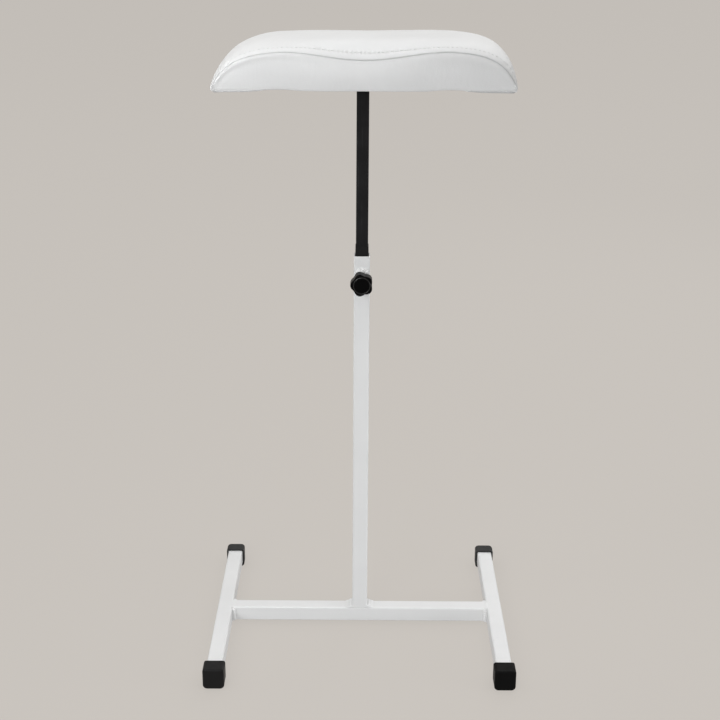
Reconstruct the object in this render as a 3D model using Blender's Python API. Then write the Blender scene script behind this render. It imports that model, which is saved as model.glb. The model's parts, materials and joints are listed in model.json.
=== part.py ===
"""Pedicure footrest: a white H base with a post, a black column that slides in the post and carries a padded
rest, and a star knob that clamps the column. Metres, +Z up, the front towards -Y, the floor at Z = 0 and the
origin under the post."""

import math

import bmesh
import bpy
from mathutils import Vector

# Sizes below are in millimetres, and this turns them into metres.
MM = 0.001

# Gap left between pieces that touch on the real object.
GAP = 0.3

# Square tube of the base and post, and of the column that slides in it.
TUBE = 20.0
TUBE_WALL = 1.0
TUBE_CORNER = 2.0
SLIDE_TUBE = 15.0
SLIDE_WALL = 1.0
SLIDE_CORNER = 1.5

# Base.
LEG_SPACING = 364.0
BASE_DEPTH = 335.0
END_WELD = 5.0
FOOT_WELD_REACH = 9.0
FOOT_WELD_RISE = 6.0

# Caps over the tube ends.
FRONT_CAP_LENGTH = 22.0
REAR_CAP_LENGTH = 18.0
FRONT_CAP_SIDE = 3.2
REAR_CAP_SIDE = 2.3
CAP_LID = 2.4
CAP_SOLE = 4.7
CAP_END = 3.2
CAP_CORNER = 5.0
CAP_TOP_CORNER = 3.2
CAP_EDGE = 2.0
FRONT_CAP_PLAN_EDGE = 2.6
REAR_CAP_PLAN_EDGE = 5.0
CAP_LIP = 0.5

# Post and its guide bush.
POST_LENGTH = 491.0
BUSH_DEPTH = 16.0
MOUTH = 17.2
MOUTH_DEPTH = 1.6
RIM_EDGE = 0.6
BUSH_COLLAR_RISE = 12.0
BUSH_LIP = 0.25

# Clamp, with its height measured down from the rim of the post.
CLAMP_BELOW_RIM = 28.0
STUD_DIAMETER = 8.0
STUD_IN_KNOB = 15.0
STUD_CHAMFER = 0.8
NUT_FLATS = 14.0
NUT_THICKNESS = 8.0
NUT_CHAMFER = 0.5
NUT_WELD_SIDE = 1.6
NUT_WELD_ABOVE = 5.0
KNOB_RADIUS = 14.1
KNOB_VALLEY = 12.0
KNOB_LOBES = 5
KNOB_FULLNESS = 0.7
KNOB_GRIP = 16.0
KNOB_HUB_RADIUS = 7.2
KNOB_HUB = 6.0
KNOB_EDGE = 1.6
KNOB_STANDOFF = 1.2
KNOB_CAP_RADIUS = 9.6
KNOB_CAP_DEPTH = 1.6
KNOB_CAP_PROUD = 0.7

# Column.
SLIDE_LENGTH = 380.0
SLIDE_WELD = 3.5
PLUG_HEAD = 8.0
PLUG_SPIGOT = 14.0
PLUG_CORNER = 1.4
PLUG_CHAMFER = 1.0

# Plate, its screws and the board.
PLATE_WIDTH = 100.0
PLATE_DEPTH = 64.0
PLATE_THICKNESS = 3.0
PLATE_CORNER = 6.0
SCREW_INSET = 9.0
SCREW_DIAMETER = 4.0
SCREW_HEAD = 8.0
SCREW_HEAD_RISE = 2.4
SCREW_BITE = 7.0
BOARD_THICKNESS = 10.0
BOARD_INSET = 6.0
BOARD_CORNER = 8.0

# Cushion: the seam outline on its front and rear, and how far the top panel swells past it at mid depth.
CUSHION_BOTTOM = 729.0
CUSHION_DEPTH = 170.0
SEAM_HALF_WIDTH = 171.0
SEAM_RISE = 44.0
SEAM_DIP = 10.0
SEAM_DIP_REACH = 100.0
CROWN = 10.2
END_SWELL = 6.0
FRONT_SWELL = 3.0
COVER = 1.2
HEM = 24.0

# Share of the seam half width where the front and rear panels end.
PANEL_REACH = 0.985

# Exponents of the cushion curves: the shoulder across the width, and the roll of the top panel in depth.
SHOULDER_FLAT = 6.2
SHOULDER_ROUND = 0.63
ROLL_FLAT = 3.3
ROLL_ROUND = 0.73

# Facet counts.
CORNER_STEPS = 4
ROUND_STEPS = 32
KNOB_STEPS = 60
NUT_STEPS = 36
CUSHION_ACROSS = 36
CUSHION_DEEP = 14
PANEL_ACROSS = 24
PANEL_UP = 5

# Heights and places that follow from the sizes above.
TUBE_BOTTOM = CAP_SOLE + GAP
TUBE_TOP = TUBE_BOTTOM + TUBE
TUBE_MIDDLE = TUBE_BOTTOM + TUBE / 2
POST_FOOT = TUBE_TOP + GAP
POST_RIM = POST_FOOT + POST_LENGTH
BORE = TUBE - 2 * TUBE_WALL
BORE_CORNER = TUBE_CORNER - TUBE_WALL
SLIDE_BORE = SLIDE_TUBE - 2 * SLIDE_WALL
SLIDE_BORE_CORNER = SLIDE_CORNER - SLIDE_WALL
CLAMP_HEIGHT = POST_RIM - CLAMP_BELOW_RIM
POST_FRONT = -TUBE / 2
NUT_BACK = POST_FRONT - GAP
NUT_FRONT = NUT_BACK - NUT_THICKNESS
KNOB_BACK = NUT_FRONT - KNOB_STANDOFF
KNOB_FACE = KNOB_BACK - KNOB_HUB - KNOB_GRIP
STUD_TIP = -SLIDE_TUBE / 2 - GAP
STUD_LENGTH = STUD_TIP - KNOB_BACK + STUD_IN_KNOB
STUD_HOLE = STUD_DIAMETER + 2 * GAP
BOARD_BOTTOM = CUSHION_BOTTOM + COVER + GAP
BOARD_TOP = BOARD_BOTTOM + BOARD_THICKNESS
PLATE_BOTTOM = BOARD_BOTTOM - GAP - PLATE_THICKNESS
SLIDE_TOP = PLATE_BOTTOM - GAP
SLIDE_BOTTOM = SLIDE_TOP - SLIDE_LENGTH
SCREW_SEAT = PLATE_BOTTOM - GAP
SCREW_HOLE = SCREW_DIAMETER + 2 * GAP
FOAM_BOTTOM = BOARD_TOP + GAP
CUSHION_HALF_DEPTH = CUSHION_DEPTH / 2
SKIN = COVER + GAP

WHITE_STEEL = ("white_steel", (0.80, 0.80, 0.79), 0.35, 0.0)
BLACK_STEEL = ("black_steel", (0.020, 0.020, 0.021), 0.45, 0.0)
BLACK_PLASTIC = ("black_plastic", (0.015, 0.015, 0.015), 0.50, 0.0)
CAP_PLASTIC = ("cap_plastic", (0.028, 0.028, 0.029), 0.60, 0.0)
ZINC_STEEL = ("zinc_steel", (0.60, 0.60, 0.58), 0.35, 1.0)
PLYWOOD = ("plywood", (0.55, 0.40, 0.24), 0.70, 0.0)
FOAM = ("foam", (0.80, 0.74, 0.55), 0.95, 0.0)
LEATHERETTE = ("leatherette", (0.86, 0.86, 0.85), 0.45, 0.0)


def clear_scene():
    for found in list(bpy.data.objects):
        bpy.data.objects.remove(found, do_unlink=True)


def finish(obj, look):
    """Gives the object its own Principled material."""
    name, colour, roughness, metallic = look
    material = bpy.data.materials.new(f"{obj.name}_{name}")
    material.use_nodes = True
    shader = material.node_tree.nodes["Principled BSDF"]
    shader.inputs["Base Color"].default_value = (*colour, 1.0)
    shader.inputs["Roughness"].default_value = roughness
    shader.inputs["Metallic"].default_value = metallic
    obj.data.materials.append(material)


def carrier(name, place):
    """An empty at a joint, which the pieces that move with it hang on."""
    holder = bpy.data.objects.new(name, None)
    holder.location = Vector(place) * MM
    bpy.context.scene.collection.objects.link(holder)
    return holder


def add(name, shape, place, look, parent=None, smooth_under=35.0):
    """Makes an object of a bmesh drawn in millimetres around its own origin, and puts it at a world place."""
    bmesh.ops.scale(shape, vec=(MM, MM, MM), verts=shape.verts)
    mesh = bpy.data.meshes.new(name)
    shape.to_mesh(mesh)
    shape.free()
    mesh.shade_smooth()
    mesh.set_sharp_from_angle(angle=math.radians(smooth_under))
    obj = bpy.data.objects.new(name, mesh)
    bpy.context.scene.collection.objects.link(obj)
    obj.location = Vector(place) * MM
    if parent:
        obj.parent = parent
        obj.location -= parent.location
    if look:
        finish(obj, look)
    return obj


def rounded(width, height, corner, lower_corner=None):
    """Outline of a rectangle with rounded corners, counter-clockwise from the right of the lower side."""
    lower = corner if lower_corner is None else lower_corner
    outline = []
    turns = ((1, -1, lower), (1, 1, corner), (-1, 1, corner), (-1, -1, lower))
    for quarter, (side, up, radius) in enumerate(turns):
        centre_x = side * (width / 2 - radius)
        centre_y = up * (height / 2 - radius)
        for step in range(CORNER_STEPS + 1):
            angle = math.radians(-90 + 90 * quarter + 90 * step / CORNER_STEPS)
            outline.append((centre_x + radius * math.cos(angle), centre_y + radius * math.sin(angle)))
    return outline


def circle(radius, steps=ROUND_STEPS):
    turns = [2 * math.pi * step / steps for step in range(steps)]
    return [(radius * math.cos(turn), radius * math.sin(turn)) for turn in turns]


def at_x(outline, x):
    return [(x, a, b) for a, b in outline]


def at_y(outline, y):
    return [(a, y, b) for a, b in outline]


def at_z(outline, z):
    return [(a, b, z) for a, b in outline]


def skin(rings, through=False):
    """A closed body through rings of equal count: capped at both ends, or joined end to end when it is hollow
    right through."""
    shape = bmesh.new()
    rows = [[shape.verts.new(point) for point in ring] for ring in rings]
    pairs = list(zip(rows, rows[1:]))
    if through:
        pairs.append((rows[-1], rows[0]))
    else:
        shape.faces.new(rows[0])
        shape.faces.new(rows[-1])
    count = len(rows[0])
    for near, far in pairs:
        for i in range(count):
            j = (i + 1) % count
            shape.faces.new((near[i], near[j], far[j], far[i]))
    bmesh.ops.recalc_face_normals(shape, faces=shape.faces)
    return shape


def cutter(name, shape, place, target):
    """Takes a shape out of a target piece."""
    tool = add(name, shape, place, None)
    tool.hide_render = True
    tool.display_type = "WIRE"
    cut = target.modifiers.new(name, "BOOLEAN")
    cut.operation = "DIFFERENCE"
    cut.solver = "EXACT"
    cut.object = tool


def weld_flare(reach, share):
    """How far a fillet weld of a given reach stands out, at a share of its rise from the joint."""
    return reach * (1.0 - math.sqrt(max(0.0, 1.0 - (1.0 - share) ** 2)))


def build_leg(name, side):
    half = BASE_DEPTH / 2 - CAP_END - GAP
    outer = rounded(TUBE, TUBE, TUBE_CORNER)
    inner = rounded(BORE, BORE, BORE_CORNER)
    rings = [at_y(outer, -half), at_y(outer, half), at_y(inner, half), at_y(inner, -half)]
    return add(name, skin(rings, True), (side * LEG_SPACING / 2, 0, TUBE_MIDDLE), WHITE_STEEL)


def build_cap(name, side, end):
    """A sleeve over a tube end: thick under the tube, rounded below, and closed at the outer end."""
    length, wall, plan_edge = FRONT_CAP_LENGTH, FRONT_CAP_SIDE, FRONT_CAP_PLAN_EDGE
    if end > 0:
        length, wall, plan_edge = REAR_CAP_LENGTH, REAR_CAP_SIDE, REAR_CAP_PLAN_EDGE
    width = TUBE + 2 * (GAP + wall)
    height = CAP_SOLE + GAP + TUBE + GAP + CAP_LID
    pocket = rounded(TUBE + 2 * GAP, TUBE + 2 * GAP, TUBE_CORNER + GAP)
    pocket_lift = CAP_SOLE + GAP + TUBE / 2 - height / 2
    pocket = [(a, b + pocket_lift) for a, b in pocket]

    def shell(across, up):
        corners = (CAP_TOP_CORNER - up / 2, CAP_CORNER - up / 2)
        return rounded(width - 2 * across, height - 2 * up, *corners)

    rings = [at_y(pocket, -CAP_END), at_y(pocket, -length)]
    rings += [at_y(shell(CAP_LIP, CAP_LIP), -length), at_y(shell(0.0, 0.0), -length + CAP_LIP)]
    for step in range(CORNER_STEPS + 2):
        turn = math.radians(90 * step / (CORNER_STEPS + 1))
        back = plan_edge * (1 - math.sin(turn))
        across = plan_edge * (1 - math.cos(turn))
        late = max(0.0, 1 - back / CAP_EDGE)
        up = CAP_EDGE * (1 - math.sqrt(1 - late * late))
        rings.append(at_y(shell(across, up), -back))
    rings = [[(x, end * y, z) for x, y, z in ring] for ring in rings]
    place = (side * LEG_SPACING / 2, end * BASE_DEPTH / 2, height / 2)
    return add(name, skin(rings), place, CAP_PLASTIC)


def build_cross_bar():
    """Tube between the legs. Its ends spread into the fillet welds on the sides of the legs."""
    half = (LEG_SPACING - TUBE) / 2 - GAP
    shares = [step / CORNER_STEPS for step in range(CORNER_STEPS + 1)]
    stations = [(-half + END_WELD * share, weld_flare(END_WELD, share)) for share in shares]
    stations += [(-x, flare) for x, flare in reversed(stations)]
    rings = [at_x(rounded(TUBE + 2 * flare, TUBE, TUBE_CORNER), x) for x, flare in stations]
    inner = rounded(BORE, BORE, BORE_CORNER)
    rings += [at_x(inner, half), at_x(inner, -half)]
    return add("cross_bar", skin(rings, True), (0, 0, TUBE_MIDDLE), WHITE_STEEL)


def build_post():
    """Tube on the cross bar, spread at its foot into the welds and turned in at its rim, with the stud's hole."""
    rings = []
    for step in range(CORNER_STEPS + 1):
        share = step / CORNER_STEPS
        flare = weld_flare(FOOT_WELD_REACH, share)
        rings.append(at_z(rounded(TUBE + 2 * flare, TUBE, TUBE_CORNER), FOOT_WELD_RISE * share))
    rings.append(at_z(rounded(TUBE, TUBE, TUBE_CORNER), POST_LENGTH - RIM_EDGE))
    rings.append(at_z(rounded(TUBE - 2 * RIM_EDGE, TUBE - 2 * RIM_EDGE, TUBE_CORNER), POST_LENGTH))
    mouth = rounded(MOUTH, MOUTH, BORE_CORNER)
    inner = rounded(BORE, BORE, BORE_CORNER)
    rings += [at_z(mouth, POST_LENGTH), at_z(mouth, POST_LENGTH - MOUTH_DEPTH)]
    rings += [at_z(inner, POST_LENGTH - MOUTH_DEPTH), at_z(inner, 0)]
    post = add("post", skin(rings, True), (0, 0, POST_FOOT), WHITE_STEEL)
    drill = skin([at_y(circle(STUD_HOLE / 2), -2 * TUBE_WALL), at_y(circle(STUD_HOLE / 2), 2 * TUBE_WALL)])
    cutter("post_stud_hole", drill, (0, POST_FRONT, CLAMP_HEIGHT), post)
    return post


def build_guide_bush():
    """Sleeve under the rim of the post, with a tapered collar that stands out of the mouth around the tube."""
    sleeve = rounded(BORE - 2 * GAP, BORE - 2 * GAP, BORE_CORNER)
    opening = rounded(SLIDE_TUBE + 2 * GAP, SLIDE_TUBE + 2 * GAP, SLIDE_CORNER + GAP)
    neck = rounded(MOUTH - 2 * GAP, MOUTH - 2 * GAP, TUBE_CORNER)
    lip_side = SLIDE_TUBE + 2 * GAP + 2 * BUSH_LIP
    lip = rounded(lip_side, lip_side, TUBE_CORNER)
    rings = [
        at_z(sleeve, -BUSH_DEPTH),
        at_z(sleeve, -MOUTH_DEPTH - GAP),
        at_z(neck, -MOUTH_DEPTH - GAP),
        at_z(neck, GAP),
        at_z(lip, BUSH_COLLAR_RISE),
        at_z(opening, BUSH_COLLAR_RISE),
        at_z(opening, -BUSH_DEPTH),
    ]
    return add("guide_bush", skin(rings, True), (0, 0, POST_RIM), BLACK_PLASTIC)


def build_clamp_nut():
    """Hexagon nut with a corner up, bedded in the weld that holds it to the post above and below."""
    turns = [2 * math.pi * step / NUT_STEPS for step in range(NUT_STEPS)]

    def hexagon(flats, spread=0.0):
        outline = []
        for turn in turns:
            off_flat = (turn + math.pi / 6) % (math.pi / 3) - math.pi / 6
            reach = flats / 2 / math.cos(off_flat)
            across = (reach + spread * NUT_WELD_SIDE) * math.cos(turn)
            outline.append((across, (reach + spread * NUT_WELD_ABOVE) * math.sin(turn)))
        return outline

    weld_rise = NUT_THICKNESS / 2
    rings = []
    for step in range(CORNER_STEPS + 1):
        share = step / CORNER_STEPS
        rings.append(at_y(hexagon(NUT_FLATS, weld_flare(1.0, share)), -weld_rise * share))
    rings.append(at_y(hexagon(NUT_FLATS), NUT_CHAMFER - NUT_THICKNESS))
    rings.append(at_y(hexagon(NUT_FLATS - 2 * NUT_CHAMFER), -NUT_THICKNESS))
    bore = circle(STUD_HOLE / 2, NUT_STEPS)
    rings += [at_y(bore, -NUT_THICKNESS), at_y(bore, 0)]
    return add("clamp_nut", skin(rings, True), (0, NUT_BACK, CLAMP_HEIGHT), WHITE_STEEL)


def build_clamp_stud(parent):
    radius = STUD_DIAMETER / 2
    rings = [
        at_y(circle(radius - STUD_CHAMFER), 0),
        at_y(circle(radius), -STUD_CHAMFER),
        at_y(circle(radius), STUD_CHAMFER - STUD_LENGTH),
        at_y(circle(radius - STUD_CHAMFER), -STUD_LENGTH),
    ]
    return add("clamp_stud", skin(rings), (0, STUD_TIP, CLAMP_HEIGHT), ZINC_STEEL, parent)


def star(radius, valley):
    """Outline of the knob: lobes that round off at a radius, with hollows between them, one lobe to the left."""
    outline = []
    for step in range(KNOB_STEPS):
        turn = 2 * math.pi * step / KNOB_STEPS
        wave = (0.5 - 0.5 * math.cos(KNOB_LOBES * turn)) ** KNOB_FULLNESS
        reach = valley + (radius - valley) * wave
        outline.append((reach * math.cos(turn), reach * math.sin(turn)))
    return outline


def build_star_knob(parent):
    """Hub towards the nut, grip with lobes, a round recess in the face, and a blind hole for the stud."""
    grip_back = -KNOB_HUB
    grip_face = -KNOB_HUB - KNOB_GRIP
    drill = circle(STUD_HOLE / 2, KNOB_STEPS)
    hub = circle(KNOB_HUB_RADIUS, KNOB_STEPS)
    recess = circle(KNOB_CAP_RADIUS + GAP, KNOB_STEPS)
    rings = [
        at_y(drill, -STUD_IN_KNOB - GAP),
        at_y(drill, 0),
        at_y(hub, 0),
        at_y(hub, grip_back),
    ]
    for step in range(CORNER_STEPS + 1):
        turn = math.radians(90 * step / CORNER_STEPS)
        inset = KNOB_EDGE * (1 - math.sin(turn))
        outline = star(KNOB_RADIUS - inset, KNOB_VALLEY - inset)
        rings.append(at_y(outline, grip_back - KNOB_EDGE * (1 - math.cos(turn))))
    for step in range(CORNER_STEPS + 1):
        turn = math.radians(90 * step / CORNER_STEPS)
        inset = KNOB_EDGE * (1 - math.cos(turn))
        outline = star(KNOB_RADIUS - inset, KNOB_VALLEY - inset)
        rings.append(at_y(outline, grip_face + KNOB_EDGE * (1 - math.sin(turn))))
    rings += [at_y(recess, grip_face), at_y(recess, grip_face + KNOB_CAP_DEPTH)]
    return add("star_knob", skin(rings), (0, KNOB_BACK, CLAMP_HEIGHT), BLACK_PLASTIC, parent)


def build_knob_cap(parent):
    """Low domed disc in the recess of the knob."""
    rings = [at_y(circle(KNOB_CAP_RADIUS, KNOB_STEPS), -GAP)]
    rise = KNOB_CAP_PROUD
    back = -KNOB_CAP_DEPTH
    rings.append(at_y(circle(KNOB_CAP_RADIUS, KNOB_STEPS), back))
    for step in range(1, CORNER_STEPS + 1):
        turn = math.radians(90 * step / CORNER_STEPS)
        radius = KNOB_CAP_RADIUS - rise * (1 - math.cos(turn))
        rings.append(at_y(circle(radius, KNOB_STEPS), back - rise * math.sin(turn)))
    place = (0, KNOB_FACE + KNOB_CAP_DEPTH, CLAMP_HEIGHT)
    return add("knob_cap", skin(rings), place, BLACK_PLASTIC, parent)


def build_inner_tube(parent):
    """Sliding tube, spread at its top into the weld under the plate."""
    rings = [at_z(rounded(SLIDE_TUBE, SLIDE_TUBE, SLIDE_CORNER), 0)]
    for step in range(CORNER_STEPS + 1):
        share = 1 - step / CORNER_STEPS
        side = SLIDE_TUBE + 2 * weld_flare(SLIDE_WELD, share)
        rings.append(at_z(rounded(side, side, SLIDE_CORNER), SLIDE_LENGTH - SLIDE_WELD * share))
    inner = rounded(SLIDE_BORE, SLIDE_BORE, SLIDE_BORE_CORNER)
    rings += [at_z(inner, SLIDE_LENGTH), at_z(inner, 0)]
    return add("inner_tube", skin(rings, True), (0, 0, SLIDE_BOTTOM), BLACK_STEEL, parent)


def build_lower_guide_plug(parent):
    """Plug with a spigot inside the sliding tube and a head that runs in the post."""
    head_side = BORE - 2 * GAP
    spigot_side = SLIDE_BORE - 2 * GAP
    head = rounded(head_side, head_side, PLUG_CORNER)
    head_end = rounded(head_side - 2 * PLUG_CHAMFER, head_side - 2 * PLUG_CHAMFER, PLUG_CORNER)
    spigot = rounded(spigot_side, spigot_side, PLUG_CORNER)
    spigot_end = rounded(spigot_side - 2 * PLUG_CHAMFER, spigot_side - 2 * PLUG_CHAMFER, PLUG_CORNER)
    rings = [
        at_z(head_end, -PLUG_HEAD),
        at_z(head, PLUG_CHAMFER - PLUG_HEAD),
        at_z(head, 0),
        at_z(spigot, 0),
        at_z(spigot, PLUG_SPIGOT - PLUG_CHAMFER),
        at_z(spigot_end, PLUG_SPIGOT),
    ]
    return add("lower_guide_plug", skin(rings), (0, 0, SLIDE_BOTTOM - GAP), BLACK_PLASTIC, parent)


def screw_places():
    across = PLATE_WIDTH / 2 - SCREW_INSET
    deep = PLATE_DEPTH / 2 - SCREW_INSET
    return [(-across, -deep), (across, -deep), (-across, deep), (across, deep)]


def drill_screw_holes(target, bottom, top):
    """Takes the four screw holes out of a piece, between two heights."""
    for number, (x, y) in enumerate(screw_places(), 1):
        hole = circle(SCREW_HOLE / 2, ROUND_STEPS // 2)
        tool = skin([at_z(hole, bottom), at_z(hole, top)])
        cutter(f"{target.name}_hole_{number}", tool, (x, y, 0), target)


def build_plate(parent):
    outline = rounded(PLATE_WIDTH, PLATE_DEPTH, PLATE_CORNER)
    shape = skin([at_z(outline, 0), at_z(outline, PLATE_THICKNESS)])
    plate = add("cushion_plate", shape, (0, 0, PLATE_BOTTOM), BLACK_STEEL, parent)
    drill_screw_holes(plate, PLATE_BOTTOM - PLATE_THICKNESS, PLATE_BOTTOM + 2 * PLATE_THICKNESS)
    return plate


def build_board(parent):
    width = 2 * (SEAM_HALF_WIDTH - BOARD_INSET)
    depth = CUSHION_DEPTH - 2 * (SKIN + GAP)
    outline = rounded(width, depth, BOARD_CORNER)
    shape = skin([at_z(outline, 0), at_z(outline, BOARD_THICKNESS)])
    board = add("cushion_board", shape, (0, 0, BOARD_BOTTOM), PLYWOOD, parent)
    drill_screw_holes(board, BOARD_BOTTOM - BOARD_THICKNESS, BOARD_BOTTOM + SCREW_BITE + 2 * GAP)
    return board


def build_screws(parent):
    """Round-headed screws, up through the plate and into the board."""
    steps = ROUND_STEPS // 2
    shank = SCREW_DIAMETER / 2
    head = SCREW_HEAD / 2
    reach = PLATE_THICKNESS + 2 * GAP + SCREW_BITE
    rings = [
        at_z(circle(head * 0.55, steps), -SCREW_HEAD_RISE),
        at_z(circle(head * 0.85, steps), -SCREW_HEAD_RISE * 0.75),
        at_z(circle(head, steps), -SCREW_HEAD_RISE * 0.3),
        at_z(circle(head, steps), 0),
        at_z(circle(shank, steps), 0),
        at_z(circle(shank, steps), reach - SCREW_DIAMETER),
        at_z(circle(shank * 0.2, steps), reach),
    ]
    for number, (x, y) in enumerate(screw_places(), 1):
        add(f"plate_screw_{number}", skin(rings), (x, y, SCREW_SEAT), ZINC_STEEL, parent)


def shoulder(across):
    """Height share of the cushion outline at a share of its half width."""
    return max(0.0, 1.0 - abs(across) ** SHOULDER_FLAT) ** SHOULDER_ROUND


def swell(deep):
    """Share of the crown at a share of the half depth: none at the seams, all of it at mid depth."""
    return max(0.0, 1.0 - abs(deep) ** ROLL_FLAT) ** ROLL_ROUND


def cushion_point(across, deep, inset=0.0):
    """Point of the top panel, from the middle of the cushion bottom. An inset brings every side in."""
    rise = swell(deep)
    x = (SEAM_HALF_WIDTH + END_SWELL * rise - inset) * across
    z = (SEAM_RISE + CROWN * rise - inset) * shoulder(across)
    if abs(x) < SEAM_DIP_REACH:
        z -= SEAM_DIP * (1.0 - rise) * (0.5 + 0.5 * math.cos(math.pi * x / SEAM_DIP_REACH))
    return (x, (CUSHION_HALF_DEPTH - inset) * deep, z)


def spaced(count):
    """Shares from -1 to 1 that lie closer together towards both ends."""
    return [math.sin(math.pi / 2 * (2 * step / count - 1)) for step in range(count + 1)]


def sheet(rows, outward):
    """An open surface through rows of points, facing a direction. A row may hold None for no point."""
    shape = bmesh.new()
    made = [[shape.verts.new(point) if point else None for point in row] for row in rows]
    for near, far in zip(made, made[1:]):
        for i in range(len(near) - 1):
            corners = (near[i], near[i + 1], far[i + 1], far[i])
            if all(corners):
                shape.faces.new(corners)
    bmesh.ops.recalc_face_normals(shape, faces=shape.faces)
    facing = sum((face.normal * face.calc_area() for face in shape.faces), Vector())
    if facing.dot(Vector(outward)) < 0:
        bmesh.ops.reverse_faces(shape, faces=shape.faces)
    return shape


def thicken(obj):
    """Gives a cover panel its thickness, towards the foam."""
    solid = obj.modifiers.new("cover_thickness", "SOLIDIFY")
    solid.thickness = COVER * MM
    solid.offset = -1.0
    solid.use_even_offset = True


def build_foam(parent):
    """Foam block in the form of the cover, flat on the board."""
    floor = FOAM_BOTTOM - CUSHION_BOTTOM
    rings = []
    for deep in spaced(CUSHION_DEEP):
        height = SEAM_RISE + CROWN * swell(deep) - SKIN
        cut_share = (1.0 - (floor / height) ** (1 / SHOULDER_ROUND)) ** (1 / SHOULDER_FLAT)
        rings.append([cushion_point(cut_share * across, deep, SKIN) for across in spaced(CUSHION_ACROSS)])
    return add("foam_core", skin(rings), (0, 0, CUSHION_BOTTOM), FOAM, parent)


def build_top_panel(parent):
    """Cover over both ends and the top, folded under the board at the ends."""
    rows = []
    for deep in spaced(CUSHION_DEEP):
        row = [cushion_point(across, deep) for across in spaced(CUSHION_ACROSS)]
        left = row[0]
        right = row[-1]
        row.insert(0, (left[0] + HEM, left[1], left[2]))
        row.append((right[0] - HEM, right[1], right[2]))
        rows.append(row)
    shape = sheet(rows, (0, 0, 1))
    panel = add("cover_top_panel", shape, (0, 0, CUSHION_BOTTOM), LEATHERETTE, parent)
    thicken(panel)
    return panel


def build_boxing_panel(name, end, parent):
    """Front or rear cover panel, from the fold under the board up to the seam with its dip. The fold is cut
    short of the corners, where the top panel folds under."""
    hem_reach = SEAM_HALF_WIDTH - HEM - SKIN
    middle = [hem_reach * (2 * step / PANEL_ACROSS - 1) for step in range(PANEL_ACROSS + 1)]
    first = hem_reach + GAP
    last = PANEL_REACH * SEAM_HALF_WIDTH
    corner = [first + (last - first) * step / PANEL_UP for step in range(PANEL_UP + 1)]
    hem_row = []
    rows = [[] for _ in range(PANEL_UP + 1)]
    for place in [-x for x in reversed(corner)] + middle + corner:
        across = place / SEAM_HALF_WIDTH
        x, _, seam = cushion_point(across, 1.0, SKIN + GAP)
        folded = abs(place) <= hem_reach
        hem_row.append((x, end * (CUSHION_HALF_DEPTH - HEM), 0.0) if folded else None)
        foot = 0.0 if folded else SKIN
        for level, row in enumerate(rows):
            share = level / PANEL_UP
            out = FRONT_SWELL * math.sin(math.pi * share) * (1.0 - across * across)
            row.append((x, end * (CUSHION_HALF_DEPTH + out), foot + (seam - foot) * share))
    shape = sheet([hem_row, *rows], (0, end, 0))
    panel = add(name, shape, (0, 0, CUSHION_BOTTOM), LEATHERETTE, parent)
    thicken(panel)
    return panel


def main():
    clear_scene()
    build_leg("left_leg", -1)
    build_leg("right_leg", 1)
    build_cross_bar()
    build_post()
    for side, side_name in ((-1, "left"), (1, "right")):
        build_cap(f"front_{side_name}_cap", side, -1)
        build_cap(f"rear_{side_name}_cap", side, 1)
    build_guide_bush()
    build_clamp_nut()

    column = carrier("column", (0, 0, POST_RIM))
    build_inner_tube(column)
    build_lower_guide_plug(column)
    build_plate(column)
    build_board(column)
    build_screws(column)
    build_foam(column)
    build_top_panel(column)
    build_boxing_panel("cover_front_panel", -1, column)
    build_boxing_panel("cover_rear_panel", 1, column)

    clamp = carrier("clamp", (0, KNOB_BACK, CLAMP_HEIGHT))
    build_clamp_stud(clamp)
    build_star_knob(clamp)
    build_knob_cap(clamp)


main()
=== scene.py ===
"""Looks of the pedicure footrest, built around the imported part: the sewn cushion with its thread and staples,
the weld beads, the screw thread and all materials, then the floor, the lights and the camera.
Metres, +Z up, the front towards -Y."""

import json
import math

import bpy
import numpy as np
from mathutils import Matrix, Vector


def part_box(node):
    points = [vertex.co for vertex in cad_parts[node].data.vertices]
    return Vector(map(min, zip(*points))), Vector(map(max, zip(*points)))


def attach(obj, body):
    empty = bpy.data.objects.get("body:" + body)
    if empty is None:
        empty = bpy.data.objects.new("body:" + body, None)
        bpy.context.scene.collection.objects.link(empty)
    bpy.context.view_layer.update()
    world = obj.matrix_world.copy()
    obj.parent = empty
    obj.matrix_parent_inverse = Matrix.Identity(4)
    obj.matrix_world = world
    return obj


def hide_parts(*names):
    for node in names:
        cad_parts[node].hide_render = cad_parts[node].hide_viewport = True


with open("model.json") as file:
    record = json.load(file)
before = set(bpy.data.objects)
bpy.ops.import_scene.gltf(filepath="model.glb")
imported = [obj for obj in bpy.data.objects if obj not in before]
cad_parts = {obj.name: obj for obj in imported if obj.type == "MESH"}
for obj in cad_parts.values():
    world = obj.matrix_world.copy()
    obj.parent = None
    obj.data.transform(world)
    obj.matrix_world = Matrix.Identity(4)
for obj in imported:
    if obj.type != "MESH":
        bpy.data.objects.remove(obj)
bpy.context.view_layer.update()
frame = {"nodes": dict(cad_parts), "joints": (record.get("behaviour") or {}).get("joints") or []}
JOINTS = {joint["name"]: joint for joint in frame["joints"]}
MM = 0.001
FRONT, REAR = -1, 1
LEFT, RIGHT = -1, 1


def box_in_mm(node):
    """Lowest and highest corner of a node of the part, in millimetres to the third place."""
    return [[round(value / MM, 3) for value in corner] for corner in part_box(node)]


# Places that the part gives, in millimetres.
CUSHION_BOTTOM = box_in_mm("cover_top_panel")[0][2]
PLATE_BOTTOM = box_in_mm("cushion_plate")[0][2]
TUBE_HALF = box_in_mm("post")[1][1]
LEG_INNER = box_in_mm("right_leg")[0][0]
BAR_BOTTOM = box_in_mm("cross_bar")[0][2]
BAR_TOP = box_in_mm("cross_bar")[1][2]
KNOB_FACE = box_in_mm("star_knob")[0][1]
CLAMP_HEIGHT = JOINTS["knob_turn"]["pos_m"][2] / MM

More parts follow.
